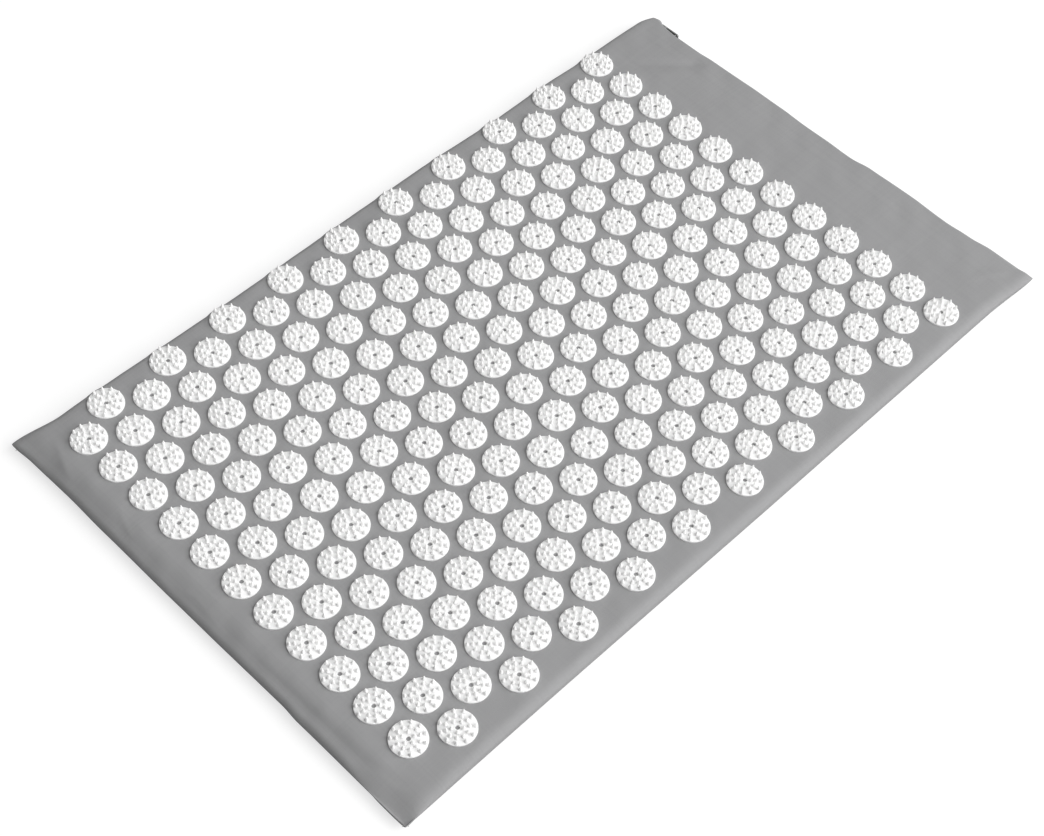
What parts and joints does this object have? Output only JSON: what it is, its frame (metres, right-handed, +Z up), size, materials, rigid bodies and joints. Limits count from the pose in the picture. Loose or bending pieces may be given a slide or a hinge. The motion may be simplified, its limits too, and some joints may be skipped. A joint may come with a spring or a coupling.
{
  "type": "acupressure mat",
  "caption": "Rectangular acupressure mat: a zipped canvas cover over a foam slab, with staggered rows of white plastic spike discs on top.",
  "frame": {"origin": "under the middle of the sewn cover, on the surface that the mat lies on", "axes": "+X along the mat's length towards the zip end, +Y across it towards the side where the closed zip's slider is parked, +Z up"},
  "size_m": [0.6878, 0.42, 0.0242],
  "materials": {
    "canvas": "plain-weave cotton canvas, mid grey, matt",
    "thread": "spun polyester sewing thread, grey",
    "foam": "open-cell polyurethane foam, off-white, matt",
    "spike_plastic": "moulded white plastic, satin",
    "zip_tape": "woven polyester tape, darker grey",
    "zip_coil": "nylon monofilament, grey",
    "zip_metal": "die-cast zinc, gunmetal lacquer"
  },
  "bodies": {
    "mat": {"cover_top_panel": "canvas", "cover_bottom_panel": "canvas", "seam_thread": "thread", "foam_core": "foam", "rosette_column_01": "spike_plastic", "rosette_column_02": "spike_plastic", "rosette_column_03": "spike_plastic", "rosette_column_04": "spike_plastic", "rosette_column_05": "spike_plastic", "rosette_column_06": "spike_plastic", "rosette_column_07": "spike_plastic", "rosette_column_08": "spike_plastic", "rosette_column_09": "spike_plastic", "rosette_column_10": "spike_plastic", "rosette_column_11": "spike_plastic", "rosette_column_12": "spike_plastic", "rosette_column_13": "spike_plastic", "rosette_column_14": "spike_plastic", "rosette_column_15": "spike_plastic", "rosette_column_16": "spike_plastic", "rosette_column_17": "spike_plastic", "rosette_column_18": "spike_plastic", "rosette_column_19": "spike_plastic", "rosette_column_20": "spike_plastic", "zip_tape_upper": "zip_tape", "zip_tape_lower": "zip_tape", "zip_coil_upper": "zip_coil", "zip_coil_lower": "zip_coil", "zip_top_stop_upper": "zip_metal", "zip_top_stop_lower": "zip_metal", "zip_bottom_stop": "zip_metal"},
    "slider": {"zip_slider": "zip_metal"},
    "pull_tab": {"zip_pull_tab": "zip_metal"}
  },
  "joints": [
    {"name": "zip_slide", "type": "slide", "parent": "mat", "child": "slider", "axis": [0, 1, 0], "range_m": [-0.37, 0]},
    {"name": "pull_tab_hinge", "type": "hinge", "parent": "slider", "child": "pull_tab", "pos_m": [0.3432, 0.1884, 0.0064], "axis": [0, 0, 1], "range_deg": [0, 165]}
  ]
}
